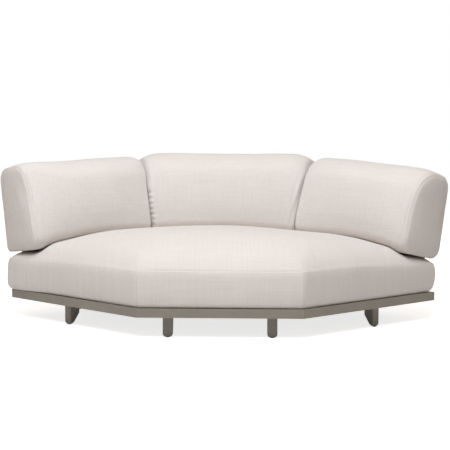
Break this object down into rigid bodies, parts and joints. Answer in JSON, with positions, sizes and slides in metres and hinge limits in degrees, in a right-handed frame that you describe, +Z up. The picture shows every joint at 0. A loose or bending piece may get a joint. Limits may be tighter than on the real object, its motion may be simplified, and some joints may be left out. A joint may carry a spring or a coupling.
{
  "type": "modular sofa",
  "caption": "Corner sofa module: faceted, crowned seat cushion on a slim metal base with short feet, and leaning mitred back cushions; the cushions lift off.",
  "frame": {"origin": "on the floor under the middle of the sofa's overall box", "axes": "+X to the right end as seen from the front, +Y to the back, +Z up"},
  "size_m": [2.2602, 1.4144, 0.8076],
  "materials": {
    "seat_fabric": "fine pale weave, matt",
    "back_fabric": "fine pale weave, matt",
    "panel_fabric": "fine pale weave, matt",
    "mesh_fabric": "open mesh, matt",
    "foam": "open-celled foam, matt",
    "rail_coating": "powder-coated taupe, fine texture",
    "deck_coating": "powder-coated taupe, fine texture",
    "back_frame_coating": "powder-coated taupe, fine texture",
    "foot_coating": "powder-coated taupe, fine texture",
    "glide_plastic": "matt",
    "bolt_steel": "brushed"
  },
  "bodies": {
    "base": {"front_rail": "rail_coating", "right_end_rail": "rail_coating", "right_back_rail": "rail_coating", "rear_rail": "rail_coating", "left_back_rail": "rail_coating", "left_end_rail": "rail_coating", "obtuse_corner_brackets": "deck_coating", "square_corner_brackets": "deck_coating", "inner_left_joist": "deck_coating", "inner_right_joist": "deck_coating", "outer_left_joist": "deck_coating", "outer_right_joist": "deck_coating", "deck_slat_1": "deck_coating", "deck_slat_2": "deck_coating", "deck_slat_3": "deck_coating", "deck_slat_4": "deck_coating", "deck_slat_5": "deck_coating", "deck_slat_6": "deck_coating", "deck_slat_7": "deck_coating", "deck_slat_8": "deck_coating", "deck_slat_9": "deck_coating", "deck_slat_10": "deck_coating", "front_left_foot": "foot_coating", "front_right_foot": "foot_coating", "right_end_foot": "foot_coating", "right_back_foot": "foot_coating", "rear_right_foot": "foot_coating", "rear_left_foot": "foot_coating", "left_back_foot": "foot_coating", "left_end_foot": "foot_coating", "foot_glides": "glide_plastic", "frame_bolts": "bolt_steel", "right_outer_upright": "back_frame_coating", "right_inner_upright": "back_frame_coating", "rear_right_upright": "back_frame_coating", "rear_left_upright": "back_frame_coating", "left_inner_upright": "back_frame_coating", "left_outer_upright": "back_frame_coating", "left_back_bar_1": "back_frame_coating", "left_back_bar_2": "back_frame_coating", "left_back_bar_3": "back_frame_coating", "rear_back_bar_1": "back_frame_coating", "rear_back_bar_2": "back_frame_coating", "rear_back_bar_3": "back_frame_coating", "right_back_bar_1": "back_frame_coating", "right_back_bar_2": "back_frame_coating", "right_back_bar_3": "back_frame_coating"},
    "seat_cushion": {"seat_cover": "seat_fabric", "seat_base_panel": "mesh_fabric", "seat_filling": "foam"},
    "left_back_cushion": {"left_back_cover": "back_fabric", "left_back_panel": "panel_fabric", "left_back_filling": "foam"},
    "centre_back_cushion": {"centre_back_cover": "back_fabric", "centre_back_panel": "panel_fabric", "centre_back_filling": "foam"},
    "right_back_cushion": {"right_back_cover": "back_fabric", "right_back_panel": "panel_fabric", "right_back_filling": "foam"}
  },
  "joints": [
    {"name": "seat_lift", "type": "slide", "parent": "base", "child": "seat_cushion", "axis": [0, 0, 1], "range_m": [0, 0.3]},
    {"name": "left_back_lift", "type": "slide", "parent": "seat_cushion", "child": "left_back_cushion", "axis": [0, 0, 1], "range_m": [0, 0.4]},
    {"name": "centre_back_lift", "type": "slide", "parent": "seat_cushion", "child": "centre_back_cushion", "axis": [0, 0, 1], "range_m": [0, 0.4]},
    {"name": "right_back_lift", "type": "slide", "parent": "seat_cushion", "child": "right_back_cushion", "axis": [0, 0, 1], "range_m": [0, 0.4]}
  ]
}
